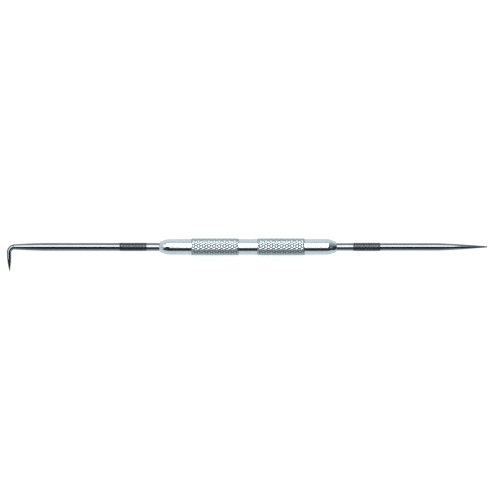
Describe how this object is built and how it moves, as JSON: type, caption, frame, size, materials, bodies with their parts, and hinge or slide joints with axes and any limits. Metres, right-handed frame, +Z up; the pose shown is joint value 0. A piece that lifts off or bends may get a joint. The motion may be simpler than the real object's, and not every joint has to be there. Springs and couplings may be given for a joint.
{
  "type": "double-ended scriber",
  "caption": "Slim metal marking tool: a knurled handle with screw-in needles at its ends, a long straight sharp point and a right-angled hooked point with its own finger grip.",
  "frame": {"origin": "the middle of the handle, on its axis", "axes": "+X along the tool's axis towards the straight point, +Z up from the surface that the scriber lies on; the hook points towards -Y and leans down until its tip reaches that surface"},
  "size_m": [0.2503, 0.0174, 0.0088],
  "materials": {
    "handle_plate": "bright chrome plate on turned and knurled metal",
    "needle_steel": "hardened steel, ground and polished dark"
  },
  "bodies": {
    "handle": {"handle": "handle_plate"},
    "straight_tang": {"straight_needle_tang": "needle_steel"},
    "straight_needle": {"straight_needle": "needle_steel"},
    "bent_tang": {"bent_needle_tang": "needle_steel"},
    "bent_needle": {"bent_needle": "needle_steel"}
  },
  "joints": [
    {"name": "straight_needle_advance", "type": "slide", "parent": "handle", "child": "straight_tang", "axis": [1, 0, 0], "range_m": [0, 0.00875]},
    {"name": "straight_needle_turn", "type": "hinge", "parent": "straight_tang", "child": "straight_needle", "pos_m": [0.046, 0, 0], "axis": [1, 0, 0], "range_deg": [0, 6300]},
    {"name": "bent_needle_advance", "type": "slide", "parent": "handle", "child": "bent_tang", "axis": [-1, 0, 0], "range_m": [0, 0.00875]},
    {"name": "bent_needle_turn", "type": "hinge", "parent": "bent_tang", "child": "bent_needle", "pos_m": [-0.046, 0, 0], "axis": [-1, 0, 0], "range_deg": [0, 6300]}
  ],
  "couplings": [
    {"joint": "straight_needle_turn", "follows": "straight_needle_advance", "rad_per_m": 12566},
    {"joint": "bent_needle_turn", "follows": "bent_needle_advance", "rad_per_m": 12566}
  ]
}
